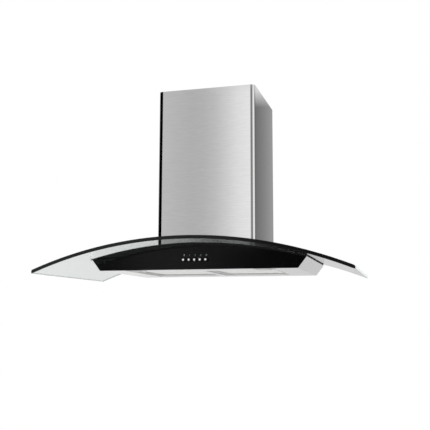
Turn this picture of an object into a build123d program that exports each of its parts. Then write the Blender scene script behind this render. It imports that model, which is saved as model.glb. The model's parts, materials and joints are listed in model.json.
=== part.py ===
from build123d import *
import math
import os

os.makedirs("parts", exist_ok=True)

# Curved glass wall hood, in millimetres. X runs along the wall, the cook stands on the
# -Y side, Z is up. The wall is the plane y = 0, and the origin is the middle of the two
# wall-fixing holes. Depths are distances from the wall.

# ---------------------------------------------------------------- driving sizes

# glass canopy, with a notch for the motor box
glass_width = 900
glass_depth = 490
glass_thick = 8
glass_radius = 1200
glass_crown_z = -66
glass_corner = 6
glass_bevel = 0.8
notch_margin = 10
notch_corner = 10

# canopy body under the glass
body_depth = 378
body_height = 84
bottom_width = 578
shoulder_width = 630
sheet = 1.2
bend = 2.5
fascia_thick = 4
fascia_corner = 4
fascia_bevel = 0.5
fascia_gap = 0.6
gasket_thick = 3
gasket_band = 16
gasket_inset = 1
air_rear = 20
air_margin = 3

# clearances
running = 0.05
shaft_fit = 0.03
skin_gap = 0.15
play = 0.3
screw_play = 0.2
bolt_play = 0.4
glass_hole_play = 1.6

# fasteners
bolt_radius = 2.9
bolt_head_radius = 5.8
bolt_head_thick = 4
bolt_tail = 3.2
screw_radius = 1.9
screw_head_radius = 3.5
screw_head_thick = 1.6
screw_tail = 3.5
stud_radius = 2
stud_length = 10
stud_inner_x = 105
stud_inset = 54
stud_rise = 30
stud_nut_radius = 4
stud_nut_thick = 3.2

# filters: two in a well, hinged at the rear
side_panel = 70
front_panel = 66
well_rear = 55
divider_width = 14
lip_height = 15
filter_gap = 1.2
filter_recess = 3
filter_thick = 9
filter_skin = 1
filter_bar = 12
filter_front_bar = 36
filter_corner = 4
filter_groove = 8
mesh_play = 0.25
mesh_pitch_x = 18
mesh_pitch_y = 20
mesh_hole_x = 14
mesh_hole_y = 16
pivot_radius = 2
pivot_inset = 4.5
pivot_proud = 0.4

# filter latches
latch_width = 26
latch_length = 12
latch_thick = 5
latch_travel = 5
latch_wall = 9
tongue_width = 16
tongue_thick = 3
tongue_root = 1
keeper_play = 1
thumb_ridge = 1.5
thumb_inset = 3

# lamps and their driver
lamp_inset = 29
lamp_radius = 27
lamp_wall = 1.5
bezel_lip = 5
bezel_thick = 1
bezel_tube = 4
lens_thick = 3
lens_edge = 1
can_height = 24
can_shoulder = 14.4
can_top_radius = 13.5
driver_width = 70
driver_depth = 28
driver_height = 22
driver_corner = 3
driver_gap = 18

# push buttons and their electronics
button_count = 5
button_pitch = 16.2
button_rise = 27
button_radius = 4.4
button_stand = 10
button_dome = 1.2
button_travel = 2.5
button_play = 0.4
button_flange = 1.2
stem_radius = 2.5
stem_length = 10
switch_margin = 19
switch_height = 20
switch_depth = 16
switch_floor = 3
switch_gap = 0.6
switch_corner = 3
post_radius = 4
post_inset = 4
window_margin_x = 12
window_margin_z = 5
board_margin = 12
board_height = 32
board_thick = 1.6
board_corner = 2
relay_width = 12
relay_height = 16
relay_pitch = 20
board_plug_width = 26
board_plug_height = 10
board_plug_x = 35
board_part_rise = 10

# blower
wheel_radius = 64
scroll_gap = 9
scroll_step = 8
scroll_shift = 13
scroll_drop = 3
scroll_sheet = 1.5
scroll_rear = 70
scroll_width = 86
scroll_eye_radius = 24
throat_width = 50
throat_rise = 9
duct_rise = 44
blade_chord = 11
blade_count = 36
blade_thick = 0.9
blade_sweep = 9
blade_camber = 2.5
blade_inset = 0.5
wheel_disc = 2
wheel_side_gap = 5
hub_radius = 12
hub_length = 24
hub_draft = 3
inlet_overlap = 5
bell_radius = 7
bell_sheet = 1

# fan motor on three rubber mounts
shaft_radius = 4
shaft_nose = 6
motor_radius = 42
motor_room = 10
motor_edge = 6
vent_count = 12
vent_width = 6
vent_depth = 4
vent_margin = 12
shaft_floor = 10
mount_offset = 10
mount_radius = 7
mount_length = 6
mount_count = 3
motor_ear_thick = 3
motor_ear_rim = 1

# motor box
box_side_room = 25
box_front_room = 70
box_sheet = 1.5
flange_width = 18
pad_crown = 2
skirt_gap = 3
skirt_end_gap = 0.5

# electrics beside the motor box
side_gap = 10.2
terminal_depth_y = 70
terminal_height = 90
terminal_corner = 5
terminal_edge = 3
terminal_y = -85
terminal_rise = 109
gland_rim = 4
gland_nut_height = 6
gland_cone_share = 0.8
gland_bore_share = 0.35
gland_cone_height = 12
gland_draft = 8
capacitor_length = 60
capacitor_edge = 2
capacitor_gap = 1.5
capacitor_rise = 74
clip_sheet = 1.2
clip_rise = 20
clip_height = 16

# duct collar and its flaps
duct_radius = 75
duct_wall = 1.5
duct_height = 46
duct_mouth = 2
duct_flange = 14
collar_screw_count = 4
flap_rise = 12
flap_thick = 1.2
flap_ledge = 3.5
flap_play = 1.2
flap_pin_radius = 1.5
flap_pin_x = 3.6
flap_barrel = 1.2
barrel_inset = 2

# wall plate, which hides between the chimney's rear lips
plate_gap = 4
wall_plate_height = 80
wall_plate_thick = 2
wall_plate_corner = 6
fixing_edge = 9
fixing_hole_radius = 4
ear_z = 60
ear_height = 30
ear_inset = 3
ear_root = 8

# chimney
chimney_width = 302
chimney_depth = 280
chimney_corner = 13
chimney_top_z = 406
chimney_sheet = 1
chimney_lip = 14
chimney_play = 0.8
seal_thick = 2
seal_rim = 0.5
seal_wall = 1.8
upper_length = 420
upper_drop = 2
upper_rear = 6.5
slot_count = 8
slot_pitch = 16
slot_height = 46
slot_width = 4
slot_drop = 20
bracket_sheet = 1.5
bracket_height = 30
bracket_drop = 18
bracket_inset = 6
bracket_screw_inset = 8
bracket_slot = 24

# ---------------------------------------------------------------- derived places

arch_z = glass_crown_z - glass_radius
under_radius = glass_radius - glass_thick
seat_radius = under_radius - gasket_thick
bottom_z = glass_crown_z - body_height
bottom_half = bottom_width / 2
shoulder_half = shoulder_width / 2
housing_depth = body_depth - fascia_thick
chimney_half = chimney_width / 2


def arch_height(radius, x):
    """Height at x of the arc of that radius, about the canopy's own centre."""
    return arch_z + math.sqrt(radius**2 - x**2)


shoulder_z = arch_height(under_radius, shoulder_half)
slant = (shoulder_half - bottom_half) / (shoulder_z - bottom_z)

# the scroll sets the size of the motor box, and the box that of the notch in the glass
scroll_radius = wheel_radius + scroll_gap
scroll_span = 2 * scroll_radius + 3 * scroll_step
box_width = scroll_span + 2 * box_side_room
box_half = box_width / 2
box_depth = scroll_rear + scroll_width + box_front_room - wall_plate_thick
box_front = wall_plate_thick + box_depth
box_y = -(wall_plate_thick + box_depth / 2)
flange_z = glass_crown_z + pad_crown
flange_half = box_half + flange_width
flange_front = box_front + flange_width
flange_depth = flange_front - wall_plate_thick
flange_y = -(wall_plate_thick + flange_depth / 2)
notch_width = box_width - 2 * notch_margin
notch_depth = box_front - notch_margin

scroll_x = -scroll_shift - 1.5 * scroll_step
scroll_z = flange_z - scroll_drop + scroll_radius + scroll_step
scroll_front = scroll_rear + scroll_width
scroll_side_x = scroll_x + scroll_radius + 3 * scroll_step
scroll_tongue_x = scroll_side_x - throat_width
throat_z = scroll_z + scroll_radius + throat_rise
box_top_z = throat_z + duct_rise
wheel_x = scroll_x + scroll_step / 2
wheel_z = scroll_z + scroll_step / 2

# the box's skirt reaches through the notch, down to the air opening
skirt_width = notch_width - 2 * skirt_gap
skirt_rear = wall_plate_thick
skirt_front = notch_depth - skirt_gap
skirt_depth = skirt_front - skirt_rear
skirt_y = -(skirt_rear + skirt_front) / 2
skirt_drop = glass_thick + pad_crown - skirt_end_gap
air_width = skirt_width - 2 * air_margin
air_front = skirt_front - air_margin
air_depth = air_front - air_rear
air_y = -(air_rear + air_front) / 2

bolt_x = box_half + flange_width / 2
bolt_front = box_front + flange_width / 2
bolt_places = [
    (-bolt_x, -box_depth / 5),
    (bolt_x, -box_depth / 5),
    (-bolt_x, -box_depth * 4 / 5),
    (bolt_x, -box_depth * 4 / 5),
    (-box_half / 2, -bolt_front),
    (box_half / 2, -bolt_front),
]

well_half = bottom_half - side_panel
well_front = housing_depth - front_panel
well_depth = well_front - well_rear
opening_width = well_half - divider_width / 2
filter_x = (well_half + divider_width / 2) / 2
filter_y = -(well_rear + well_front) / 2
filter_centres = [(-filter_x, filter_y), (filter_x, filter_y)]
filter_bottom_z = bottom_z + filter_recess
pivot_y = -(well_rear + filter_gap + pivot_inset)
pivot_z = filter_bottom_z + filter_thick / 2
tongue_z = pivot_z

lamp_x = well_half - lamp_inset
lamp_y = -(housing_depth - front_panel / 2)
lamp_places = [(-lamp_x, lamp_y), (lamp_x, lamp_y)]
button_z = bottom_z + button_rise
button_x = [button_pitch * (i - (button_count - 1) / 2) for i in range(button_count)]
switch_width = button_count * button_pitch + switch_margin
window_width = switch_width + 2 * window_margin_x
window_height = switch_height + 2 * window_margin_z
stud_outer_x = bottom_half - stud_inset
stud_z = bottom_z + stud_rise
stud_places = [(x, stud_z) for x in (-stud_outer_x, -stud_inner_x, stud_inner_x, stud_outer_x)]


def body_section(plane, inset, crown_radius, corner):
    """Section of the canopy body: flat bottom, ends that lean out, top cut to the arch."""
    top_half = bottom_half + slant * body_height
    with BuildSketch(plane) as section:
        with BuildLine():
            Polyline(
                (-bottom_half, bottom_z),
                (bottom_half, bottom_z),
                (top_half, glass_crown_z),
                (-top_half, glass_crown_z),
                close=True,
            )
        make_face()
        if inset > 0:
            offset(amount=-inset, kind=Kind.INTERSECTION)
        fillet(section.vertices().group_by(Axis.Y)[0], corner)
        with Locations((0, arch_z)):
            Circle(crown_radius, mode=Mode.INTERSECT)
    return section.sketch


# ---------------------------------------------------------------- glass canopy

with BuildPart() as glass_canopy:
    with BuildSketch(Plane.XZ):
        with Locations((0, arch_z)):
            Circle(glass_radius)
            Circle(under_radius, mode=Mode.SUBTRACT)
        with Locations((0, glass_crown_z)):
            Rectangle(glass_width, glass_width / 2, mode=Mode.INTERSECT)
    extrude(amount=glass_depth)
    fillet(glass_canopy.edges().filter_by(Axis.Z), glass_corner)
    # notch for the motor box, open at the wall
    with BuildSketch(Plane.XY.offset(arch_z)) as notch:
        Rectangle(notch_width, 2 * notch_depth)
        fillet(notch.vertices(), notch_corner)
    extrude(amount=2 * glass_radius, mode=Mode.SUBTRACT)
    with BuildSketch(Plane.XY.offset(arch_z)):
        with Locations(*bolt_places):
            Circle(bolt_radius + glass_hole_play)
    extrude(amount=2 * glass_radius, mode=Mode.SUBTRACT)
    arched = glass_canopy.faces().filter_by(GeomType.CYLINDER).sort_by(SortBy.AREA)[-2:]
    rims = [face.outer_wire().edges() for face in arched]
    chamfer(rims[0] + rims[1], glass_bevel)
glass_canopy.part.label = "glass_canopy"
export_step(glass_canopy.part, "parts/glass_canopy.step")

# ---------------------------------------------------------------- canopy housing

with BuildPart() as canopy_housing:
    extrude(body_section(Plane.XZ, 0, seat_radius, bend), amount=housing_depth)
    extrude(
        body_section(Plane.XZ.offset(sheet), sheet, seat_radius - sheet, bend - sheet),
        amount=housing_depth - 2 * sheet,
        mode=Mode.SUBTRACT,
    )
    # a turned-up lip round each filter opening
    with BuildSketch(Plane.XY.offset(bottom_z)):
        with Locations(*filter_centres):
            Rectangle(opening_width + 2 * sheet, well_depth + 2 * sheet)
    extrude(amount=lip_height)
    with BuildSketch(Plane.XY.offset(bottom_z)):
        with Locations(*filter_centres):
            Rectangle(opening_width, well_depth)
    extrude(amount=lip_height, mode=Mode.SUBTRACT)
    # pivot holes through the side lips
    with BuildSketch(Plane.YZ.offset(-well_half - 2 * sheet)):
        with Locations((pivot_y, pivot_z)):
            Circle(pivot_radius + running)
    extrude(amount=2 * (well_half + 2 * sheet), mode=Mode.SUBTRACT)
    # keeper slots for the latch tongues in the front lips
    with BuildSketch(Plane.XZ.offset(well_front)):
        with Locations((-filter_x, tongue_z), (filter_x, tongue_z)):
            Rectangle(tongue_width + 2 * keeper_play, tongue_thick + 2 * keeper_play)
    extrude(amount=sheet, mode=Mode.SUBTRACT)
    # lamp holes
    with BuildSketch(Plane.XY.offset(bottom_z)):
        with Locations(*lamp_places):
            Circle(lamp_radius + play)
    extrude(amount=sheet, mode=Mode.SUBTRACT)
    # air opening and bolt holes in the deck
    with BuildSketch(Plane.XY.offset(bottom_z + lip_height + sheet)):
        with Locations((0, air_y)):
            Rectangle(air_width, air_depth)
        with Locations(*bolt_places):
            Circle(bolt_radius + bolt_play)
    extrude(amount=body_height, mode=Mode.SUBTRACT)
    # window behind the buttons, and holes for the fascia's studs
    with BuildSketch(Plane.XZ.offset(housing_depth - sheet)):
        with Locations((0, button_z)):
            Rectangle(window_width, window_height)
        with Locations(*stud_places):
            Circle(stud_radius + bolt_play)
    extrude(amount=sheet, mode=Mode.SUBTRACT)
canopy_housing.part.label = "canopy_housing"
export_step(canopy_housing.part, "parts/canopy_housing.step")

# ---------------------------------------------------------------- front fascia

with BuildPart() as front_fascia:
    extrude(
        body_section(
            Plane.XZ.offset(housing_depth), 0, under_radius - fascia_gap, fascia_corner
        ),
        amount=fascia_thick,
    )
    chamfer(front_fascia.faces().sort_by(Axis.Y)[0].edges(), fascia_bevel)
    with BuildSketch(Plane.XZ.offset(housing_depth)):
        with Locations(*[(x, button_z) for x in button_x]):
            Circle(button_radius + button_play)
    extrude(amount=fascia_thick, mode=Mode.SUBTRACT)
    with BuildSketch(Plane.XZ.offset(housing_depth)):
        with Locations(*stud_places):
            Circle(stud_radius)
    extrude(amount=-stud_length)
front_fascia.part.label = "front_fascia"
export_step(front_fascia.part, "parts/front_fascia.step")

with BuildPart() as fascia_nuts:
    with BuildSketch(Plane.XZ.offset(housing_depth - sheet)):
        with Locations(*stud_places):
            RegularPolygon(stud_nut_radius, 6)
            Circle(stud_radius + running, mode=Mode.SUBTRACT)
    extrude(amount=-stud_nut_thick)
fascia_nuts.part.label = "fascia_nuts"
export_step(fascia_nuts.part, "parts/fascia_nuts.step")

# ---------------------------------------------------------------- gasket under the glass

gasket_half = (
    bottom_half
    + slant * (arch_height(seat_radius, shoulder_half) - bottom_z)
    - gasket_inset
)
gasket_depth = housing_depth - 2 * gasket_inset

with BuildPart() as canopy_gasket:
    with BuildSketch(Plane.XZ.offset(gasket_inset)):
        with Locations((0, arch_z)):
            Circle(under_radius - skin_gap)
            Circle(seat_radius + skin_gap, mode=Mode.SUBTRACT)
        with Locations((0, glass_crown_z)):
            Rectangle(2 * gasket_half, glass_width / 2, mode=Mode.INTERSECT)
    extrude(amount=gasket_depth)
    # a band round the rim, and a pad where the motor box is clamped
    with BuildSketch(Plane.XY.offset(arch_z)):
        with Locations((0, -housing_depth / 2)):
            Rectangle(2 * gasket_half, gasket_depth)
            Rectangle(
                2 * (gasket_half - gasket_band),
                gasket_depth - 2 * gasket_band,
                mode=Mode.SUBTRACT,
            )
        with Locations((0, -flange_front / 2 - gasket_inset)):
            Rectangle(2 * flange_half, flange_front)
        with Locations((0, air_y)):
            Rectangle(air_width, air_depth, mode=Mode.SUBTRACT)
        with Locations(*bolt_places):
            Circle(bolt_radius + 2 * bolt_play, mode=Mode.SUBTRACT)
    extrude(amount=2 * glass_radius, mode=Mode.INTERSECT)
canopy_gasket.part.label = "canopy_gasket"
export_step(canopy_gasket.part, "parts/canopy_gasket.step")

# ---------------------------------------------------------------- push buttons, switches

button_tip = -(body_depth + button_stand)
button_edge = button_tip + button_dome
flange_face = -housing_depth + play
stem_face = flange_face + button_flange
switch_face = stem_face + button_travel + switch_gap
button_end = stem_face + stem_length

for number, x in enumerate(button_x, start=1):
    with BuildPart() as push_button:
        with BuildSketch(Plane((x, 0, button_z), x_dir=(0, 1, 0), z_dir=(1, 0, 0))):
            with BuildLine():
                top = Line((button_tip, 0), (button_tip, button_radius - button_dome))
                RadiusArc(top @ 1, (button_edge, button_radius), button_dome)
                Polyline(
                    (button_edge, button_radius),
                    (flange_face, button_radius),
                    (flange_face, button_radius + button_flange),
                    (stem_face, button_radius + button_flange),
                    (stem_face, stem_radius),
                    (button_end, stem_radius),
                    (button_end, 0),
                    (button_tip, 0),
                )
            make_face()
        revolve(axis=Axis((x, 0, button_z), (0, 1, 0)))
    push_button.part.label = f"push_button_{number}"
    export_step(push_button.part, f"parts/push_button_{number}.step")

switch_half = switch_width / 2 + post_radius + post_inset + 2
post_x = switch_half - post_inset
with BuildPart() as switch_block:
    with BuildSketch(Plane.XZ.offset(-switch_face)):
        with Locations((0, button_z)):
            RectangleRounded(2 * switch_half, switch_height, switch_corner)
    extrude(amount=-switch_depth)
    # posts that stand it off the back of the fascia
    with BuildSketch(Plane.XZ.offset(housing_depth)):
        with Locations((-post_x, button_z), (post_x, button_z)):
            Circle(post_radius)
    extrude(amount=-(switch_face + housing_depth))
    with BuildSketch(Plane.XZ.offset(-switch_face)):
        with Locations(*[(x, button_z) for x in button_x]):
            Circle(stem_radius + running)
    extrude(amount=-(switch_depth - switch_floor), mode=Mode.SUBTRACT)
switch_block.part.label = "switch_block"
export_step(switch_block.part, "parts/switch_block.step")

board_face = switch_face + switch_depth
with BuildPart() as control_board:
    with BuildSketch(Plane.XZ.offset(-board_face)):
        with Locations((0, button_z)):
            RectangleRounded(switch_width + 2 * board_margin, board_height, board_corner)
    extrude(amount=-board_thick)
    # three relays and the plug that stand on the board
    with BuildSketch(Plane.XZ.offset(-board_face - board_thick)):
        with Locations(*[(-i * relay_pitch, button_z) for i in range(3)]):
            Rectangle(relay_width, relay_height)
        with Locations((board_plug_x, button_z)):
            Rectangle(board_plug_width, board_plug_height)
    extrude(amount=-board_part_rise)
control_board.part.label = "control_board"
export_step(control_board.part, "parts/control_board.step")

# ---------------------------------------------------------------- lamps

tube_radius = lamp_radius - lamp_wall
tube_top = lens_thick + bezel_tube

for side, x in (("left", -lamp_x), ("right", lamp_x)):
    with BuildPart() as lamp_bezel:
        with BuildSketch(Plane((x, lamp_y, bottom_z), x_dir=(1, 0, 0), z_dir=(0, -1, 0))):
            with BuildLine():
                Polyline(
                    (lamp_radius - bezel_lip, -bezel_thick),
                    (lamp_radius + bezel_lip - bezel_thick, -bezel_thick),
                    (lamp_radius + bezel_lip, 0),
                    (lamp_radius, 0),
                    (lamp_radius, tube_top),
                    (tube_radius, tube_top),
                    (tube_radius, 0),
                    (lamp_radius - bezel_lip, 0),
                    close=True,
                )
            make_face()
        revolve(axis=Axis((x, lamp_y, 0), (0, 0, 1)))
    lamp_bezel.part.label = f"lamp_bezel_{side}"
    export_step(lamp_bezel.part, f"parts/lamp_bezel_{side}.step")

    with BuildPart() as lamp_lens:
        with BuildSketch(Plane.XY.offset(bottom_z)):
            with Locations((x, lamp_y)):
                Circle(tube_radius - skin_gap)
        extrude(amount=lens_thick)
        fillet(lamp_lens.edges().sort_by(Axis.Z)[-1], lens_edge)
    lamp_lens.part.label = f"lamp_lens_{side}"
    export_step(lamp_lens.part, f"parts/lamp_lens_{side}.step")

    with BuildPart() as lamp_can:
        with BuildSketch(
            Plane((x, lamp_y, bottom_z + tube_top), x_dir=(1, 0, 0), z_dir=(0, -1, 0))
        ):
            with BuildLine():
                Polyline(
                    (tube_radius, 0),
                    (lamp_radius, 0),
                    (lamp_radius, can_shoulder),
                    (can_top_radius, can_height),
                    (0, can_height),
                    (0, can_height - lamp_wall),
                    (can_top_radius - lamp_wall / 2, can_height - lamp_wall),
                    (tube_radius, can_shoulder - lamp_wall / 2),
                    close=True,
                )
            make_face()
        revolve(axis=Axis((x, lamp_y, 0), (0, 0, 1)))
    lamp_can.part.label = f"lamp_can_{side}"
    export_step(lamp_can.part, f"parts/lamp_can_{side}.step")

driver_x = lamp_x - lamp_radius - driver_gap - driver_width / 2
with BuildPart() as lamp_driver:
    with BuildSketch(Plane.XY.offset(bottom_z + sheet)):
        with Locations((driver_x, lamp_y)):
            RectangleRounded(driver_width, driver_depth, driver_corner)
    extrude(amount=driver_height)
    fillet(lamp_driver.faces().sort_by(Axis.Z)[-1].edges(), driver_corner / 2)
lamp_driver.part.label = "lamp_driver"
export_step(lamp_driver.part, "parts/lamp_driver.step")

# ---------------------------------------------------------------- filters and latches

frame_width = opening_width - 2 * filter_gap
frame_depth = well_depth - 2 * filter_gap
frame_rear = well_rear + filter_gap
frame_front = frame_rear + frame_depth
mesh_window_width = frame_width - 2 * filter_bar
mesh_window_depth = frame_depth - filter_bar - filter_front_bar
mesh_y = -(frame_rear + filter_bar + mesh_window_depth / 2)
groove_thick = filter_thick - 2 * filter_skin
pin_length = filter_gap + sheet + pivot_proud
pocket_length = latch_length + latch_travel + 2 * play
pocket_rear = frame_front - latch_wall - pocket_length
latch_rear = pocket_rear + play
latch_y = -(latch_rear + latch_length / 2)
latch_bottom_z = tongue_z - latch_thick / 2
pocket_height = latch_bottom_z + latch_thick + play - filter_bottom_z

for side, x in (("left", -filter_x), ("right", filter_x)):
    with BuildPart() as filter_frame:
        with BuildSketch(Plane.XY.offset(filter_bottom_z)) as outline:
            with Locations((x, filter_y)):
                Rectangle(frame_width, frame_depth)
            fillet(outline.vertices().group_by(Axis.Y)[0], filter_corner)
        extrude(amount=filter_thick)
        # the rear bar is round about the pivots, so that it turns inside its opening
        rear_edges = filter_frame.edges().filter_by(Axis.X).group_by(Axis.Y)[-1]
        fillet(rear_edges, filter_thick / 2 - running)
        with BuildSketch(Plane.XY.offset(filter_bottom_z)):
            with Locations((x, mesh_y)):
                Rectangle(mesh_window_width, mesh_window_depth)
        extrude(amount=filter_thick, mode=Mode.SUBTRACT)
        with BuildSketch(Plane.XY.offset(filter_bottom_z + filter_skin)):
            with Locations((x, mesh_y)):
                Rectangle(
                    mesh_window_width + 2 * filter_groove,
                    mesh_window_depth + 2 * filter_groove,
                )
        extrude(amount=groove_thick, mode=Mode.SUBTRACT)
        # pocket for the latch, open below, and the tunnel for its tongue
        with BuildSketch(Plane.XY.offset(filter_bottom_z)):
            with Locations((x, -(pocket_rear + pocket_length / 2))):
                Rectangle(latch_width + 2 * play, pocket_length)
        extrude(amount=pocket_height, mode=Mode.SUBTRACT)
        with BuildSketch(Plane.XZ.offset(latch_rear)):
            with Locations((x, tongue_z)):
                Rectangle(tongue_width + 2 * running, tongue_thick + 2 * running)
        extrude(amount=frame_front - latch_rear, mode=Mode.SUBTRACT)
        # a pivot pin at each end of the rear bar
        for turn in (-1, 1):
            with BuildSketch(Plane.YZ.offset(x + turn * frame_width / 2)):
                with Locations((pivot_y, pivot_z)):
                    Circle(pivot_radius)
            extrude(amount=turn * pin_length)
    filter_frame.part.label = f"filter_frame_{side}"
    export_step(filter_frame.part, f"parts/filter_frame_{side}.step")

    with BuildPart() as filter_mesh:
        columns = int(mesh_window_width / mesh_pitch_x)
        rows = int(mesh_window_depth / mesh_pitch_y)
        with BuildSketch(Plane.XY.offset(filter_bottom_z + filter_skin + mesh_play)):
            with Locations((x, mesh_y)):
                Rectangle(
                    mesh_window_width + 2 * (filter_groove - mesh_play),
                    mesh_window_depth + 2 * (filter_groove - mesh_play),
                )
                with GridLocations(mesh_pitch_x, mesh_pitch_y, columns, rows):
                    Polygon(
                        (-mesh_hole_x / 2, 0),
                        (0, -mesh_hole_y / 2),
                        (mesh_hole_x / 2, 0),
                        (0, mesh_hole_y / 2),
                        align=None,
                        mode=Mode.SUBTRACT,
                    )
        extrude(amount=groove_thick - 2 * mesh_play)
    filter_mesh.part.label = f"filter_mesh_{side}"
    export_step(filter_mesh.part, f"parts/filter_mesh_{side}.step")

    with BuildPart() as filter_latch:
        with BuildSketch(Plane.XY.offset(latch_bottom_z)):
            with Locations((x, latch_y)):
                Rectangle(latch_width, latch_length)
        extrude(amount=latch_thick)
        with BuildSketch(Plane.XZ.offset(latch_rear + tongue_root)):
            with Locations((x, tongue_z)):
                Rectangle(tongue_width, tongue_thick)
        extrude(amount=frame_front - play - latch_rear - tongue_root)
        # thumb ridge
        with BuildSketch(Plane.YZ.offset(x - latch_width / 2 + thumb_inset)):
            with Locations((latch_y, latch_bottom_z)):
                Circle(thumb_ridge)
        extrude(amount=latch_width - 2 * thumb_inset)
    filter_latch.part.label = f"filter_latch_{side}"
    export_step(filter_latch.part, f"parts/filter_latch_{side}.step")

# ---------------------------------------------------------------- pad and motor box

pad_rim_z = arch_height(glass_radius, flange_half)
with BuildPart() as box_pad:
    with BuildSketch(Plane.XY.offset(pad_rim_z)) as pad_outline:
        with Locations((0, flange_y)):
            Rectangle(2 * flange_half, flange_depth)
        fillet(pad_outline.vertices().group_by(Axis.Y)[0], notch_corner)
        Rectangle(notch_width, 2 * notch_depth, mode=Mode.SUBTRACT)
        with Locations(*bolt_places):
            Circle(bolt_radius + bolt_play, mode=Mode.SUBTRACT)
    extrude(amount=flange_z - pad_rim_z)
    with BuildSketch(Plane.XZ):
        with Locations((0, arch_z)):
            Circle(glass_radius + skin_gap)
    extrude(amount=glass_depth, mode=Mode.SUBTRACT)
box_pad.part.label = "box_pad"
export_step(box_pad.part, "parts/box_pad.step")

screw_circle = duct_radius + duct_flange / 2
with BuildPart() as motor_box:
    with BuildSketch(Plane.XY.offset(flange_z)) as flange_outline:
        with Locations((0, flange_y)):
            Rectangle(2 * flange_half, flange_depth)
        fillet(flange_outline.vertices().group_by(Axis.Y)[0], notch_corner)
        with Locations(*bolt_places):
            Circle(bolt_radius + bolt_play, mode=Mode.SUBTRACT)
    extrude(amount=box_sheet)
    with BuildSketch(Plane.XY.offset(flange_z)):
        with Locations((0, box_y)):
            Rectangle(box_width, box_depth)
    extrude(amount=box_top_z - flange_z)
    with BuildSketch(Plane.XY.offset(flange_z)):
        with Locations((0, skirt_y)):
            Rectangle(skirt_width, skirt_depth)
    extrude(amount=-skirt_drop)
    with BuildSketch(Plane.XY.offset(flange_z + box_sheet)):
        with Locations((0, box_y)):
            Rectangle(box_width - 2 * box_sheet, box_depth - 2 * box_sheet)
    extrude(amount=box_top_z - flange_z - 2 * box_sheet, mode=Mode.SUBTRACT)
    with BuildSketch(Plane.XY.offset(flange_z - skirt_drop)):
        with Locations((0, skirt_y)):
            Rectangle(skirt_width - 2 * box_sheet, skirt_depth - 2 * box_sheet)
    extrude(amount=skirt_drop + box_sheet, mode=Mode.SUBTRACT)
    # outlet hole and the collar's screw holes
    with BuildSketch(Plane.XY.offset(box_top_z - box_sheet)):
        with Locations((0, box_y)):
            Circle(duct_radius - duct_wall)
            with PolarLocations(screw_circle, collar_screw_count, start_angle=45):
                Circle(screw_radius + screw_play)
    extrude(amount=box_sheet, mode=Mode.SUBTRACT)
motor_box.part.label = "motor_box"
export_step(motor_box.part, "parts/motor_box.step")

with BuildPart() as clamp_bolts:
    with BuildSketch(Plane.XY.offset(flange_z + box_sheet)):
        with Locations(*bolt_places):
            RegularPolygon(bolt_head_radius, 6)
    extrude(amount=bolt_head_thick)
    for place in bolt_places:
        deck_z = arch_height(seat_radius, place[0]) - sheet
        foot_z = deck_z - bolt_head_thick - bolt_tail
        with BuildSketch(Plane.XY.offset(foot_z)):
            with Locations(place):
                Circle(bolt_radius)
        extrude(amount=flange_z + box_sheet - foot_z)
clamp_bolts.part.label = "clamp_bolts"
export_step(clamp_bolts.part, "parts/clamp_bolts.step")

with BuildPart() as clamp_nuts:
    for place in bolt_places:
        # the arch falls outwards, so the outer side of each nut sets its height
        outer_x = abs(place[0]) + bolt_head_radius
        nut_top_z = arch_height(seat_radius - sheet, outer_x) - skin_gap
        with BuildSketch(Plane.XY.offset(nut_top_z)):
            with Locations(place):
                RegularPolygon(bolt_head_radius, 6)
                Circle(bolt_radius + running, mode=Mode.SUBTRACT)
        extrude(amount=-bolt_head_thick)
clamp_nuts.part.label = "clamp_nuts"
export_step(clamp_nuts.part, "parts/clamp_nuts.step")

# ---------------------------------------------------------------- wall plate

wall_plate_width = chimney_width - 2 * (chimney_lip + plate_gap)
fixing_spacing = wall_plate_width - 2 * fixing_edge
plate_half = wall_plate_width / 2
plate_top_z = ear_z + ear_height / 2
ear_half = chimney_half - ear_inset
ear_inner = plate_half - ear_root
ear_screw_x = chimney_half - (chimney_lip + chimney_sheet + ear_inset - play) / 2
ear_screws = [(-ear_screw_x, ear_z), (ear_screw_x, ear_z)]

with BuildPart() as wall_plate:
    with BuildSketch(Plane.XZ) as plate_outline:
        with Locations((0, (plate_top_z - wall_plate_height / 2) / 2)):
            Rectangle(wall_plate_width, plate_top_z + wall_plate_height / 2)
        fillet(plate_outline.vertices().group_by(Axis.Y)[0], wall_plate_corner)
        with Locations((-fixing_spacing / 2, 0), (fixing_spacing / 2, 0)):
            Circle(fixing_hole_radius, mode=Mode.SUBTRACT)
    extrude(amount=wall_plate_thick)
    # ears that step forward, over the chimney's rear lips
    with BuildSketch(Plane.XZ.offset(chimney_sheet)):
        with Locations(
            (-(ear_half + ear_inner) / 2, ear_z),
            ((ear_half + ear_inner) / 2, ear_z),
        ):
            Rectangle(ear_half - ear_inner, ear_height)
        with Locations(*ear_screws):
            Circle(screw_radius + screw_play, mode=Mode.SUBTRACT)
    extrude(amount=wall_plate_thick)
wall_plate.part.label = "wall_plate"
export_step(wall_plate.part, "parts/wall_plate.step")

# ---------------------------------------------------------------- scroll and outlet duct


def scroll_outline(plane, inset, top_z):
    """Three arcs, each a step larger than the last, that open upwards into a throat."""
    top_radius = scroll_radius - inset
    side_x = scroll_side_x - inset
    tongue_x = scroll_tongue_x + inset
    tongue_angle = math.degrees(math.acos((tongue_x - scroll_x) / top_radius))
    with BuildSketch(plane) as outline:
        with BuildLine():
            start = CenterArc((scroll_x, scroll_z), top_radius, tongue_angle, 180 - tongue_angle)
            CenterArc((scroll_x + scroll_step, scroll_z), top_radius + scroll_step, 180, 90)
            CenterArc(
                (scroll_x + scroll_step, scroll_z + scroll_step),
                top_radius + 2 * scroll_step,
                270,
                90,
            )
            Polyline(
                (side_x, scroll_z + scroll_step),
                (side_x, top_z),
                (tongue_x, top_z),
                start @ 0,
            )
        make_face()
    return outline.sketch


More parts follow.
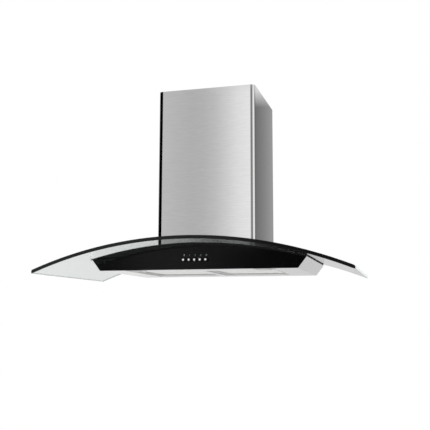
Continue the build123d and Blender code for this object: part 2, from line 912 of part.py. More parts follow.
with BuildPart() as scroll_housing:
    extrude(scroll_outline(Plane.XZ.offset(scroll_rear), 0, throat_z), amount=scroll_width)
    extrude(
        scroll_outline(
            Plane.XZ.offset(scroll_rear + scroll_sheet), scroll_sheet, throat_z + scroll_sheet
        ),
        amount=scroll_width - 2 * scroll_sheet,
        mode=Mode.SUBTRACT,
    )
    with BuildSketch(Plane.XZ.offset(scroll_rear)):
        with Locations((wheel_x, wheel_z)):
            Circle(scroll_eye_radius)
    extrude(amount=scroll_sheet, mode=Mode.SUBTRACT)
    with BuildSketch(Plane.XZ.offset(scroll_front - scroll_sheet)):
        with Locations((wheel_x, wheel_z)):
            Circle(wheel_radius - blade_chord - inlet_overlap + bell_radius + play)
    extrude(amount=scroll_sheet, mode=Mode.SUBTRACT)
scroll_housing.part.label = "scroll_housing"
export_step(scroll_housing.part, "parts/scroll_housing.step")

throat_x = (scroll_side_x + scroll_tongue_x) / 2
throat_y = -(scroll_rear + scroll_width / 2)
duct_bottom_z = box_top_z - box_sheet
duct_bore = duct_radius - duct_wall
with BuildPart() as outlet_duct:
    with BuildSketch(Plane.XY.offset(throat_z)):
        with Locations((throat_x, throat_y)):
            Rectangle(throat_width, scroll_width)
    with BuildSketch(Plane.XY.offset(duct_bottom_z)):
        with Locations((0, box_y)):
            Circle(duct_radius)
    loft(ruled=True)
    with BuildSketch(Plane.XY.offset(throat_z)):
        with Locations((throat_x, throat_y)):
            Rectangle(throat_width - 2 * scroll_sheet, scroll_width - 2 * scroll_sheet)
    with BuildSketch(Plane.XY.offset(duct_bottom_z)):
        with Locations((0, box_y)):
            Circle(duct_bore)
    loft(ruled=True, mode=Mode.SUBTRACT)
outlet_duct.part.label = "outlet_duct"
export_step(outlet_duct.part, "parts/outlet_duct.step")

# ---------------------------------------------------------------- fan wheel and motor

wheel_rear = scroll_rear + scroll_sheet + wheel_side_gap
wheel_front = scroll_front - scroll_sheet - wheel_side_gap
blade_rear = wheel_rear + wheel_disc
blade_front = wheel_front - wheel_disc
blade_inner = wheel_radius - blade_chord
inlet_radius = blade_inner - inlet_overlap


def wheel_plane(depth):
    """Plane square to the fan's axis, that far from the wall, centred on the axis."""
    return Plane((wheel_x, -depth, wheel_z), x_dir=(1, 0, 0), z_dir=(0, -1, 0))


def polar_point(radius, degrees):
    """Point at that radius and angle about the fan's axis."""
    return (radius * math.cos(math.radians(degrees)), radius * math.sin(math.radians(degrees)))


with BuildSketch(Plane.XY) as blade:
    with BuildLine():
        ThreePointArc(
            polar_point(blade_inner, 0),
            polar_point((blade_inner + wheel_radius) / 2, blade_camber),
            polar_point(wheel_radius - blade_inset, blade_sweep),
        )
    trace(line_width=blade_thick)

with BuildPart() as fan_wheel:
    with BuildSketch(wheel_plane(wheel_rear)):
        Circle(wheel_radius)
    extrude(amount=wheel_disc)
    with BuildSketch(wheel_plane(blade_rear)):
        with PolarLocations(0, blade_count):
            add(blade.sketch)
    extrude(amount=blade_front - blade_rear)
    with BuildSketch(wheel_plane(blade_front)):
        Circle(wheel_radius)
        Circle(blade_inner, mode=Mode.SUBTRACT)
    extrude(amount=wheel_disc)
    with BuildSketch(wheel_plane(blade_rear)):
        Circle(hub_radius)
    extrude(amount=hub_length, taper=hub_draft)
    with BuildSketch(wheel_plane(wheel_rear)):
        Circle(shaft_radius + shaft_fit)
    extrude(amount=wheel_front - wheel_rear, mode=Mode.SUBTRACT)
fan_wheel.part.label = "fan_wheel"
export_step(fan_wheel.part, "parts/fan_wheel.step")

motor_front = scroll_rear - mount_length
motor_length = motor_front - motor_room
motor_rear = motor_room
mount_circle = motor_radius + mount_offset
motor_ear_radius = mount_radius + motor_ear_rim
with BuildPart() as motor_body:
    with BuildSketch(wheel_plane(motor_rear)):
        Circle(motor_radius)
    extrude(amount=motor_length)
    fillet(motor_body.edges().filter_by(GeomType.CIRCLE).sort_by(Axis.Y)[-1], motor_edge)
    # vents round the can
    with BuildSketch(wheel_plane(motor_rear)):
        with PolarLocations(motor_radius, vent_count):
            Rectangle(2 * vent_depth, vent_width)
    extrude(amount=motor_length - vent_margin, mode=Mode.SUBTRACT)
    with BuildSketch(wheel_plane(motor_front - motor_ear_thick)):
        with PolarLocations(mount_circle, mount_count, start_angle=90):
            Circle(motor_ear_radius)
        with PolarLocations(motor_radius, mount_count, start_angle=90):
            Rectangle(2 * mount_offset, 2 * motor_ear_radius)
    extrude(amount=motor_ear_thick)
    with BuildSketch(wheel_plane(motor_front)):
        Circle(shaft_radius + running)
    extrude(amount=-motor_length + shaft_floor, mode=Mode.SUBTRACT)
motor_body.part.label = "motor_body"
export_step(motor_body.part, "parts/motor_body.step")

with BuildPart() as motor_mounts:
    with BuildSketch(wheel_plane(motor_front)):
        with PolarLocations(mount_circle, mount_count, start_angle=90):
            Circle(mount_radius)
            Circle(bolt_radius, mode=Mode.SUBTRACT)
    extrude(amount=mount_length)
motor_mounts.part.label = "motor_mounts"
export_step(motor_mounts.part, "parts/motor_mounts.step")

shaft_rear = motor_rear + shaft_floor + play
with BuildPart() as motor_shaft:
    with BuildSketch(wheel_plane(shaft_rear)):
        Circle(shaft_radius)
    extrude(amount=blade_rear + hub_length + shaft_nose - shaft_rear)
motor_shaft.part.label = "motor_shaft"
export_step(motor_shaft.part, "parts/motor_shaft.step")

bell_top = inlet_radius + bell_radius
ring_face = scroll_front + bell_sheet
throat_face = ring_face - bell_radius
with BuildPart() as inlet_ring:
    with BuildSketch(Plane((wheel_x, 0, wheel_z), x_dir=(0, -1, 0), z_dir=(1, 0, 0))):
        with BuildLine():
            Polyline(
                (scroll_front, bell_top),
                (scroll_front, bell_top + bell_radius),
                (ring_face, bell_top + bell_radius),
                (ring_face, bell_top),
            )
            RadiusArc((ring_face, bell_top), (throat_face, inlet_radius), bell_radius)
            Line((throat_face, inlet_radius), (throat_face, inlet_radius + bell_sheet))
            RadiusArc(
                (scroll_front, bell_top),
                (throat_face, inlet_radius + bell_sheet),
                bell_radius - bell_sheet,
            )
        make_face()
    revolve(axis=Axis((wheel_x, 0, wheel_z), (0, 1, 0)))
inlet_ring.part.label = "inlet_ring"
export_step(inlet_ring.part, "parts/inlet_ring.step")

# ---------------------------------------------------------------- electrics beside the box

# the room between the motor box and the upper chimney, less a gap to the chimney
side_room = chimney_half - 2 * chimney_sheet - chimney_play - box_half - side_gap
terminal_z = flange_z + terminal_rise
with BuildPart() as terminal_box:
    with BuildSketch(Plane.YZ.offset(-box_half)):
        with Locations((terminal_y, terminal_z)):
            RectangleRounded(terminal_depth_y, terminal_height, terminal_corner)
    extrude(amount=-side_room)
    fillet(terminal_box.faces().sort_by(Axis.X)[0].edges(), terminal_edge)
terminal_box.part.label = "terminal_box"
export_step(terminal_box.part, "parts/terminal_box.step")

gland_x = -box_half - side_room / 2
gland_z = terminal_z + terminal_height / 2
gland_radius = side_room / 2 - gland_rim
with BuildPart() as cable_gland:
    with BuildSketch(Plane.XY.offset(gland_z)):
        with Locations((gland_x, terminal_y)):
            RegularPolygon(gland_radius, 6)
    extrude(amount=gland_nut_height)
    with BuildSketch(Plane.XY.offset(gland_z + gland_nut_height)):
        with Locations((gland_x, terminal_y)):
            Circle(gland_radius * gland_cone_share)
    extrude(amount=gland_cone_height, taper=gland_draft)
    with BuildSketch(Plane.XY.offset(gland_z)):
        with Locations((gland_x, terminal_y)):
            Circle(gland_radius * gland_bore_share)
    extrude(amount=gland_nut_height + gland_cone_height, mode=Mode.SUBTRACT)
cable_gland.part.label = "cable_gland"
export_step(cable_gland.part, "parts/cable_gland.step")

capacitor_radius = side_room / 2
capacitor_x = box_half + capacitor_radius + capacitor_gap
capacitor_z = flange_z + capacitor_rise
with BuildPart() as capacitor:
    with BuildSketch(Plane.XY.offset(capacitor_z)):
        with Locations((capacitor_x, terminal_y)):
            Circle(capacitor_radius)
    extrude(amount=capacitor_length)
    fillet(capacitor.edges(), capacitor_edge)
capacitor.part.label = "capacitor"
export_step(capacitor.part, "parts/capacitor.step")

with BuildPart() as capacitor_clip:
    with BuildSketch(Plane.XY.offset(capacitor_z + clip_rise)):
        with Locations((capacitor_x, terminal_y)):
            Circle(capacitor_radius + clip_sheet)
        with Locations((box_half + clip_sheet / 2, terminal_y)):
            Rectangle(clip_sheet, 3 * capacitor_radius)
        with Locations((capacitor_x, terminal_y)):
            Circle(capacitor_radius + skin_gap, mode=Mode.SUBTRACT)
    extrude(amount=clip_height)
capacitor_clip.part.label = "capacitor_clip"
export_step(capacitor_clip.part, "parts/capacitor_clip.step")

# ---------------------------------------------------------------- duct collar and flaps

flap_z = box_top_z + flap_rise
flap_radius = duct_bore - flap_play
ledge_top = flap_rise - flap_thick / 2 - play
with BuildPart() as duct_collar:
    with BuildSketch(Plane((0, box_y, box_top_z), x_dir=(1, 0, 0), z_dir=(0, -1, 0))):
        with BuildLine():
            Polyline(
                (duct_bore, 0),
                (duct_radius + duct_flange, 0),
                (duct_radius + duct_flange, duct_wall),
                (duct_radius, duct_wall),
                (duct_radius, duct_height - duct_mouth),
                (duct_radius - duct_wall / 2, duct_height),
                (duct_bore, duct_height),
                (duct_bore, ledge_top),
                (duct_bore - flap_ledge, ledge_top),
                (duct_bore - flap_ledge, ledge_top - duct_wall),
                (duct_bore, ledge_top - flap_ledge),
                close=True,
            )
        make_face()
    revolve(axis=Axis((0, box_y, 0), (0, 0, 1)))
    with BuildSketch(Plane.XZ.offset(-box_y - duct_radius)):
        with Locations((-flap_pin_x, flap_z), (flap_pin_x, flap_z)):
            Circle(flap_pin_radius + running)
    extrude(amount=2 * duct_radius, mode=Mode.SUBTRACT)
    with BuildSketch(Plane.XY.offset(box_top_z)):
        with Locations((0, box_y)):
            with PolarLocations(screw_circle, collar_screw_count, start_angle=45):
                Circle(screw_radius + screw_play)
    extrude(amount=duct_wall, mode=Mode.SUBTRACT)
duct_collar.part.label = "duct_collar"
export_step(duct_collar.part, "parts/duct_collar.step")

with BuildPart() as collar_screws:
    with BuildSketch(Plane.XY.offset(box_top_z + duct_wall)):
        with Locations((0, box_y)):
            with PolarLocations(screw_circle, collar_screw_count, start_angle=45):
                Circle(screw_head_radius)
    extrude(amount=screw_head_thick)
    with BuildSketch(Plane.XY.offset(duct_bottom_z - screw_tail)):
        with Locations((0, box_y)):
            with PolarLocations(screw_circle, collar_screw_count, start_angle=45):
                Circle(screw_radius)
    extrude(amount=screw_tail + box_sheet + duct_wall)
collar_screws.part.label = "collar_screws"
export_step(collar_screws.part, "parts/collar_screws.step")

pin_half = math.sqrt((duct_radius - bolt_play) ** 2 - (flap_pin_x + flap_pin_radius) ** 2)
with BuildPart() as damper_pins:
    with BuildSketch(Plane.XZ.offset(-box_y - pin_half)):
        with Locations((-flap_pin_x, flap_z), (flap_pin_x, flap_z)):
            Circle(flap_pin_radius)
    extrude(amount=2 * pin_half)
damper_pins.part.label = "damper_pins"
export_step(damper_pins.part, "parts/damper_pins.step")

barrel_half = flap_radius - flap_ledge - barrel_inset
for side, turn in (("left", -1), ("right", 1)):
    with BuildPart() as damper_flap:
        with BuildSketch(Plane.XY.offset(flap_z - flap_thick / 2)):
            with Locations((0, box_y)):
                Circle(flap_radius)
            with Locations((turn * (flap_pin_x + flap_radius), box_y)):
                Rectangle(2 * flap_radius, 2 * flap_radius, mode=Mode.INTERSECT)
        extrude(amount=flap_thick)
        with BuildSketch(Plane.XZ.offset(-box_y - barrel_half)):
            with Locations((turn * flap_pin_x, flap_z)):
                Circle(flap_pin_radius + flap_barrel)
        extrude(amount=2 * barrel_half)
        with BuildSketch(Plane.XZ.offset(-box_y - duct_radius)):
            with Locations((turn * flap_pin_x, flap_z)):
                Circle(flap_pin_radius + running)
        extrude(amount=2 * duct_radius, mode=Mode.SUBTRACT)
    damper_flap.part.label = f"damper_flap_{side}"
    export_step(damper_flap.part, f"parts/damper_flap_{side}.step")

# ---------------------------------------------------------------- chimney


def chimney_section(plane, half, front, rear, corner, wall):
    """Folded sheet, round at the front corners, with a lip turned in along each rear edge."""
    with BuildSketch(plane) as section:
        with Locations((0, -(front + rear) / 2)):
            Rectangle(2 * half, front - rear)
        fillet(section.vertices().group_by(Axis.Y)[0], corner)
        offset(amount=-wall, mode=Mode.SUBTRACT)
        with Locations((0, -rear)):
            Rectangle(2 * (half - chimney_lip), 4 * wall, mode=Mode.SUBTRACT)
    return section.sketch


# the seal and the chimney's foot follow the glass
seal_radius = glass_radius + seal_thick
seal_floor_z = arch_height(glass_radius, chimney_half + seal_rim)
with BuildPart() as chimney_lower:
    with BuildSketch(Plane.XY.offset(seal_floor_z)) as lower_section:
        add(
            chimney_section(
                Plane.XY, chimney_half, chimney_depth, 0, chimney_corner, chimney_sheet
            )
        )
    extrude(amount=chimney_top_z - seal_floor_z)
    with BuildSketch(Plane.XZ):
        with Locations((0, arch_z)):
            Circle(seal_radius + skin_gap)
    extrude(amount=chimney_depth, mode=Mode.SUBTRACT)
    with BuildSketch(Plane.XZ):
        with Locations(*ear_screws):
            Circle(screw_radius + screw_play)
    extrude(amount=chimney_sheet, mode=Mode.SUBTRACT)
chimney_lower.part.label = "chimney_lower"
export_step(chimney_lower.part, "parts/chimney_lower.step")

with BuildPart() as chimney_seal:
    extrude(
        chimney_section(
            Plane.XY.offset(seal_floor_z),
            chimney_half + seal_rim,
            chimney_depth + seal_rim,
            0,
            chimney_corner + seal_rim,
            seal_wall,
        ),
        amount=glass_crown_z + 2 * seal_thick - seal_floor_z,
    )
    with BuildSketch(Plane.XZ):
        with Locations((0, arch_z)):
            Circle(seal_radius)
    extrude(amount=chimney_depth + seal_wall, mode=Mode.INTERSECT)
    with BuildSketch(Plane.XZ):
        with Locations((0, arch_z)):
            Circle(glass_radius + skin_gap)
    extrude(amount=chimney_depth + seal_wall, mode=Mode.SUBTRACT)
chimney_seal.part.label = "chimney_seal"
export_step(chimney_seal.part, "parts/chimney_seal.step")

ear_face = chimney_sheet + wall_plate_thick
with BuildPart() as chimney_screws:
    with BuildSketch(Plane.XZ.offset(ear_face)):
        with Locations(*ear_screws):
            Circle(screw_head_radius)
    extrude(amount=screw_head_thick)
    with BuildSketch(Plane.XZ.offset(screw_play)):
        with Locations(*ear_screws):
            Circle(screw_radius)
    extrude(amount=ear_face - screw_play)
chimney_screws.part.label = "chimney_screws"
export_step(chimney_screws.part, "parts/chimney_screws.step")

upper_half = chimney_half - chimney_sheet - chimney_play
upper_front = chimney_depth - chimney_sheet - chimney_play
upper_top_z = chimney_top_z - upper_drop
slot_z = upper_top_z - slot_drop - slot_height / 2
slot_y = -(upper_front + upper_rear) / 2
bracket_z = upper_top_z - bracket_drop
bracket_screw_x = upper_half - bracket_screw_inset
bracket_screw_places = [(-bracket_screw_x, bracket_z), (bracket_screw_x, bracket_z)]
with BuildPart() as chimney_upper:
    extrude(
        chimney_section(
            Plane.XY.offset(upper_top_z - upper_length),
            upper_half,
            upper_front,
            upper_rear,
            chimney_corner - chimney_sheet - chimney_play,
            chimney_sheet,
        ),
        amount=upper_length,
    )
    # air slots near the top of both sides
    with BuildSketch(Plane.YZ.offset(-upper_half)):
        with Locations((slot_y, slot_z)):
            with GridLocations(slot_pitch, 0, slot_count, 1):
                SlotOverall(slot_height, slot_width, rotation=90)
    extrude(amount=2 * upper_half, mode=Mode.SUBTRACT)
    with BuildSketch(Plane.XZ.offset(upper_rear)):
        with Locations(*bracket_screw_places):
            Circle(screw_radius + screw_play)
    extrude(amount=chimney_sheet, mode=Mode.SUBTRACT)
chimney_upper.part.label = "chimney_upper"
export_step(chimney_upper.part, "parts/chimney_upper.step")

foot_inner = plate_half - bracket_inset
foot_outer = upper_half - ear_inset
foot_root = foot_inner - bracket_sheet
with BuildPart() as chimney_bracket:
    # hat section: the web lies on the wall, the feet carry the chimney's rear lips
    with BuildSketch(Plane.XY.offset(bracket_z - bracket_height / 2)):
        with Locations((0, -bracket_sheet / 2)):
            Rectangle(2 * foot_inner, bracket_sheet)
        for turn in (-1, 1):
            with Locations((turn * (foot_inner - bracket_sheet / 2), -upper_rear / 2)):
                Rectangle(bracket_sheet, upper_rear)
            with Locations((turn * (foot_root + foot_outer) / 2, -upper_rear + bracket_sheet / 2)):
                Rectangle(foot_outer - foot_root, bracket_sheet)
    extrude(amount=bracket_height)
    with BuildSketch(Plane.XZ):
        with Locations(*bracket_screw_places):
            Circle(screw_radius + screw_play)
        with Locations((-foot_inner / 2, bracket_z), (foot_inner / 2, bracket_z)):
            SlotOverall(bracket_slot, 2 * fixing_hole_radius)
    extrude(amount=upper_rear, mode=Mode.SUBTRACT)
chimney_bracket.part.label = "chimney_bracket"
export_step(chimney_bracket.part, "parts/chimney_bracket.step")

with BuildPart() as bracket_screws:
    with BuildSketch(Plane.XZ.offset(upper_rear + chimney_sheet)):
        with Locations(*bracket_screw_places):
            Circle(screw_head_radius)
    extrude(amount=screw_head_thick)
    with BuildSketch(Plane.XZ.offset(upper_rear - bracket_sheet - screw_tail)):
        with Locations(*bracket_screw_places):
            Circle(screw_radius)
    extrude(amount=screw_tail + bracket_sheet + chimney_sheet)
bracket_screws.part.label = "bracket_screws"
export_step(bracket_screws.part, "parts/bracket_screws.step")
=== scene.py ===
"""Looks of a curved glass wall hood: finishes, printed marks, filter mesh, edge border, studio.

Metres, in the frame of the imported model: X along the wall, -Y towards the cook, Z up.
"""

import json
import math

import bpy
import numpy as np
from mathutils import Matrix, Vector


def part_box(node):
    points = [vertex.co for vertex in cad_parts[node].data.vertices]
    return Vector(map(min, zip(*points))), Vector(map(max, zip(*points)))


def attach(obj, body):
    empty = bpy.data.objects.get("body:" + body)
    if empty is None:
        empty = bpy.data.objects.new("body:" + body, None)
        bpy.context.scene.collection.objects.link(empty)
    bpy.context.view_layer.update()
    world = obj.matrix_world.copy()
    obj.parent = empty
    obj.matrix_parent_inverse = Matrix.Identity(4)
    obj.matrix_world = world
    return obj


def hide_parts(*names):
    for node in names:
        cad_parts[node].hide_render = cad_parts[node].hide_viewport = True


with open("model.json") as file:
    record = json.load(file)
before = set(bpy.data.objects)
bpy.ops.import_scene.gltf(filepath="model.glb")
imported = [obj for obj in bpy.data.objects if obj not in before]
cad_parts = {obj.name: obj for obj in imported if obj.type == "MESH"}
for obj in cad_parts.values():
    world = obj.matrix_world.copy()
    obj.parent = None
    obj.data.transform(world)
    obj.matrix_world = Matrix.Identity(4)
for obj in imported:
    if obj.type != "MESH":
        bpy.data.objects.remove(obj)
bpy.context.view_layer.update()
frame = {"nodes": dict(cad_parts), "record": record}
nodes = frame["nodes"]
MM = 0.001


# ---------------------------------------------------------------- shader maths

class Wire:
    """A socket's value, so that shader maths reads as ordinary sums."""

    def __init__(self, bench, socket):
        self.bench = bench
        self.socket = socket

    def maths(self, operation, first, second=0.0):
        return self.bench.node("Math", {"operation": operation}, {0: first, 1: second})

    def __add__(self, other):
        return self.maths("ADD", self, other)

    def __radd__(self, other):
        return self.maths("ADD", other, self)

    def __sub__(self, other):
        return self.maths("SUBTRACT", self, other)

    def __rsub__(self, other):
        return self.maths("SUBTRACT", other, self)

    def __mul__(self, other):
        return self.maths("MULTIPLY", self, other)

    def __rmul__(self, other):
        return self.maths("MULTIPLY", other, self)

    def __mod__(self, other):
        return self.maths("FLOORED_MODULO", self, other)

    def __abs__(self):
        return self.maths("ABSOLUTE", self)

    def __lt__(self, other):
        return self.maths("LESS_THAN", self, other)

    def __or__(self, other):
        return self.maths("MAXIMUM", self, other)


class Bench:
    """The node tree of one material, or of the world."""

    def __init__(self, tree):
        self.tree = tree
        tree.nodes.clear()

    def node(self, kind, settings=None, inputs=None, output=0):
        """Adds a shader node: its settings first, then its sockets, and gives one output."""
        made = self.tree.nodes.new("ShaderNode" + kind)
        for key, value in (settings or {}).items():
            if key == "stops":
                self.set_stops(made.color_ramp.elements, value)
            else:
                setattr(made, key, value)
        for key, value in (inputs or {}).items():
            if isinstance(value, Wire):
                self.tree.links.new(value.socket, made.inputs[key])
            else:
                made.inputs[key].default_value = value
        return Wire(self, made.outputs[output])

    def set_stops(self, elements, stops):
        """Fills a colour ramp from (place, grey) pairs."""
        while len(elements) < len(stops):
            elements.new(0.5)
        for element, (place, grey) in zip(elements, stops):
            element.position = place
            element.color = rgba(grey)

    def place(self):
        """The point in metres. Every object lies at the origin, so pieces share one frame."""
        return self.node("TexCoord", output="Object")

    def facing(self):
        """The way that the surface faces."""
        return self.node("TexCoord", output="Normal")

    def axes(self, vector):
        """The three components of a vector."""
        split = self.node("SeparateXYZ", {}, {0: vector})
        return [Wire(self, output) for output in split.socket.node.outputs]

    def scaled(self, x, y, z):
        """The point times a scale for each axis."""
        return self.node("VectorMath", {"operation": "MULTIPLY"}, {0: self.place(), 1: (x, y, z)})

    def noise(self, scale, detail=2.0):
        """Noise with so many lumps a metre along each axis."""
        inputs = {"Vector": self.scaled(*scale), "Scale": 1.0, "Detail": detail, "Roughness": 0.5}
        return self.node("TexNoise", {}, inputs)

    def spread(self, value, low, high, out_low=0.0, out_high=1.0):
        """Maps low..high to out_low..out_high, held at both ends."""
        return self.node("MapRange", {}, {0: value, 1: low, 2: high, 3: out_low, 4: out_high})

    def vary(self, noise, low, high):
        """Goes from low to high with a noise, most of which lies between 0.3 and 0.7."""
        return self.spread(noise, 0.3, 0.7, low, high)

    def tint(self, mask, colour_a, colour_b):
        """Colour a where the mask is 0, colour b where it is 1."""
        inputs = {"Factor": mask, 6: rgba(colour_a), 7: rgba(colour_b)}
        return self.node("Mix", {"data_type": "RGBA"}, inputs, output=2)

    def bump(self, height, depth_mm, strength):
        """Relief that is so many millimetres deep."""
        inputs = {"Height": height, "Distance": depth_mm * MM, "Strength": strength}
        return self.node("Bump", {}, inputs)

    def surface(self, **sockets):
        """The main shader, by socket name with spaces as underscores."""
        inputs = {name.replace("_", " "): value for name, value in sockets.items()}
        return self.node("BsdfPrincipled", {}, inputs)

    def blend(self, mask, shader_a, shader_b):
        """Shader a where the mask is 0, shader b where it is 1."""
        return self.node("MixShader", {}, {0: mask, 1: shader_a, 2: shader_b})

    def finish(self, shader, kind="Material"):
        made = self.tree.nodes.new("ShaderNodeOutput" + kind)
        self.tree.links.new(shader.socket, made.inputs["Surface"])


def rgba(colour):
    """A grey number or an RGB triple as four numbers; a wire stays as it is."""
    if isinstance(colour, Wire):
        return colour
    if isinstance(colour, (int, float)):
        return (colour, colour, colour, 1.0)
    return (*colour, 1.0)


def material(name):
    made = bpy.data.materials.new(name)
    made.use_nodes = True
    return made, Bench(made.node_tree)


# ---------------------------------------------------------------- finishes

# Brushed steel: its darkest and palest grain as shares of its shade, its dullest grain as a
# share of its polish, and the roughness that a tube's inner side has on top of that.
dark_grain = (0.955, 0.958, 0.956)
pale_grain = (1.045, 1.045, 1.04)
dull_grain = 1.3
mill_dullness = 0.35

# The glass is a pale green. Over the fascia's left part it has a coat that hardly reflects: the
# coat fades out between these places, at the rear in y, at the right in x, and at the left in
# x + y * coat_slant, which follows the fascia's slanted end.
glass_green = (0.85, 0.88, 0.867)
glass_ior = 1.5
coat_ior = 1.06
coat_rear = (-0.37, -0.36)
coat_right = (-0.01, 0.07)
coat_left = (-0.497, -0.49)
coat_slant = 0.464

# Seen nearly edge on, between these facing values, the glass turns into this much of a mirror.
graze = (0.93, 0.942)
graze_mirror = 0.96

# Faces whose normal's z is below the first are edges. With its y below the second they are the
# polished front edge, which is black and darkens from its left end to this share of its right
# half: a painted shade in its colour.
edge_normal_z = 0.8
front_normal_y = -0.3
painted_rim_shade_share = 0.4


def inner_side(bench, tube):
    """1 on the faces that look towards the middle of an upright tube over x = 0, else 0."""
    low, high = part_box(tube)
    x, y = bench.axes(bench.place())[:2]
    facing_x, facing_y = bench.axes(bench.facing())[:2]
    return x * facing_x + (y - (low.y + high.y) / 2) * facing_y < 0.0


def brushed_stainless(name, hairline, streak, shade, polish, tube=None):
    """Stainless sheet. Brush lines run along the axes where hairline and streak are small.

    The inner side of a tube keeps its dull mill finish.
    """
    made, bench = material(name)
    fine = bench.noise(hairline)
    smudge = bench.noise((7, 7, 7), 3.0)
    grain = fine * 0.3 + bench.noise(streak) * 0.7
    sheen = bench.vary(grain * 0.5 + smudge * 0.5, polish, polish * dull_grain)
    if tube:
        sheen = sheen + inner_side(bench, tube) * mill_dullness
    darker = [shade * share for share in dark_grain]
    paler = [shade * share for share in pale_grain]
    bench.finish(
        bench.surface(
            Base_Color=bench.tint(bench.vary(grain, 0.0, 1.0), darker, paler),
            Metallic=1.0,
            Roughness=sheen,
            Normal=bench.bump(fine, 0.012, 0.5),
        )
    )
    return made


def galvanised(name):
    """Zinc-coated sheet: crystals a few millimetres across, each with its own grey."""
    made, bench = material(name)
    crystal = bench.node("TexVoronoi", {}, {"Vector": bench.scaled(140, 140, 140)}, "Color")
    grey = bench.axes(crystal)[0]
    grime = bench.noise((30, 30, 30), 4.0)
    mottle = grey * 0.7 + grime * 0.3
    bench.finish(
        bench.surface(
            Base_Color=bench.tint(mottle, [0.42, 0.44, 0.45], [0.62, 0.64, 0.65]),
            Metallic=0.9,
            Roughness=bench.spread(grey, 0.0, 1.0, 0.32, 0.52),
            Normal=bench.bump(grime, 0.1, 0.3),
        )
    )
    return made


def plain_metal(name, colour, rough_low, rough_high):
    """Turned or plated metal with faint tool marks."""
    made, bench = material(name)
    marks = bench.noise((900, 900, 900), 3.0)
    dirt = bench.noise((120, 120, 120), 3.0)
    bench.finish(
        bench.surface(
            Base_Color=bench.tint(dirt, [c * 0.9 for c in colour], colour),
            Metallic=1.0,
            Roughness=bench.vary(marks, rough_low, rough_high),
            Normal=bench.bump(marks, 0.02, 0.5),
        )
    )
    return made


def bright_mesh(name):
    """Expanded aluminium, etched matt and pale."""
    made, bench = material(name)
    etch = bench.noise((260, 260, 260), 3.0)
    bench.finish(
        bench.surface(
            Base_Color=bench.tint(etch, [0.95, 0.95, 0.94], [0.99, 0.99, 0.98]),
            Metallic=0.9,
            Roughness=bench.vary(etch, 0.4, 0.55),
            Normal=bench.bump(etch, 0.05, 0.4),
        )
    )
    return made


def moulded(name, colour, roughness, grain_mm=0.5, depth_mm=0.02):
    """Moulded plastic or rubber: a fine even grain, with a little unevenness of sheen."""
    made, bench = material(name)
    grain = bench.noise((1 / (grain_mm * MM),) * 3)
    cloud = bench.noise((45, 45, 45), 3.0)
    darker = [c * 0.85 for c in colour]
    paler = [c * 1.12 + 0.002 for c in colour]
    bench.finish(
        bench.surface(
            Base_Color=bench.tint(cloud, darker, paler),
            Roughness=bench.vary(cloud, roughness - 0.05, roughness + 0.07),
            Normal=bench.bump(grain, depth_mm, 0.7),
        )
    )
    return made


def clear_glass(name):
    """Bent float glass: dark polished front edge, darkened to the right by painted shade; pale
    ground edges at the sides and rear, brightened by a painted glow.
    """
    made, bench = material(name)
    low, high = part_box("glass_canopy")
    x, y = bench.axes(bench.place())[:2]
    facing_y, facing_z = bench.axes(bench.facing())[1:]
    smear = bench.noise((9, 9, 9), 3.0)
    clear = {
        "Base_Color": rgba(glass_green),
        "Transmission_Weight": 1.0,
        "Roughness": bench.spread(smear, 0.45, 0.75, 0.0, 0.02),
    }
    pane = bench.surface(IOR=glass_ior, **clear)
    coated = bench.surface(IOR=coat_ior, **clear)
    # The ground edges are pale, and their emission is a painted glow that brightens them further:
    # painted light.
    ground = bench.surface(
        Base_Color=bench.tint(smear, [0.84, 0.88, 0.86], [0.9, 0.94, 0.92]),
        Roughness=bench.spread(smear, 0.4, 0.7, 0.3, 0.4),
        Emission_Color=(0.95, 1.0, 0.98, 1.0),
        Emission_Strength=0.15,
    )
    # The front edge's colour darkens from its left end to the right: a painted shade.
    painted_shade_rightwards = bench.spread(x, low.x, high.x * painted_rim_shade_share)
    rim = bench.surface(
        Base_Color=bench.tint(painted_shade_rightwards, [0.015, 0.016, 0.017], [0.001, 0.001, 0.001]),
        Roughness=bench.spread(smear, 0.45, 0.75, 0.1, 0.14),
        Specular_IOR_Level=0.25,
    )
    mirror = bench.node("BsdfGlossy", {}, {"Color": rgba(0.95), "Roughness": 0.02})
    over_fascia = bench.spread(y, *coat_rear, 1.0, 0.0)
    left_part = bench.spread(x, *coat_right, 1.0, 0.0) * bench.spread(
        x + y * coat_slant, *coat_left
    )
    slant = bench.node("LayerWeight", {}, {"Blend": 0.5}, "Facing")
    face = bench.blend(over_fascia * left_part, pane, coated)
    face = bench.blend(bench.spread(slant, *graze, 0.0, graze_mirror), face, mirror)
    sheet = bench.blend(abs(facing_z) < edge_normal_z, face, ground)
    bench.finish(bench.blend(facing_y < front_normal_y, sheet, rim))
    return made


def black_glass(name):
    """Back-painted glass: deep black under a hard gloss, with a trace of haze."""
    made, bench = material(name)
    haze = bench.noise((14, 14, 14), 4.0)
    bench.finish(
        bench.surface(
            Base_Color=bench.tint(haze, [0.0012, 0.0013, 0.0016], [0.002, 0.0021, 0.0024]),
            Roughness=bench.spread(haze, 0.35, 0.7, 0.03, 0.06),
            Specular_IOR_Level=0.15,
        )
    )
    return made


def frosted_glass(name):
    """Lamp lens: white and lightly pebbled."""
    made, bench = material(name)
    pebble = bench.node("TexVoronoi", {}, {"Vector": bench.scaled(700, 700, 700)})
    bench.finish(
        bench.surface(
            Base_Color=bench.tint(pebble, [0.93, 0.94, 0.92], [0.99, 0.99, 0.98]),
            Roughness=0.3,
            Transmission_Weight=0.15,
            Normal=bench.bump(pebble, 0.3, 0.6),
        )
    )
    return made


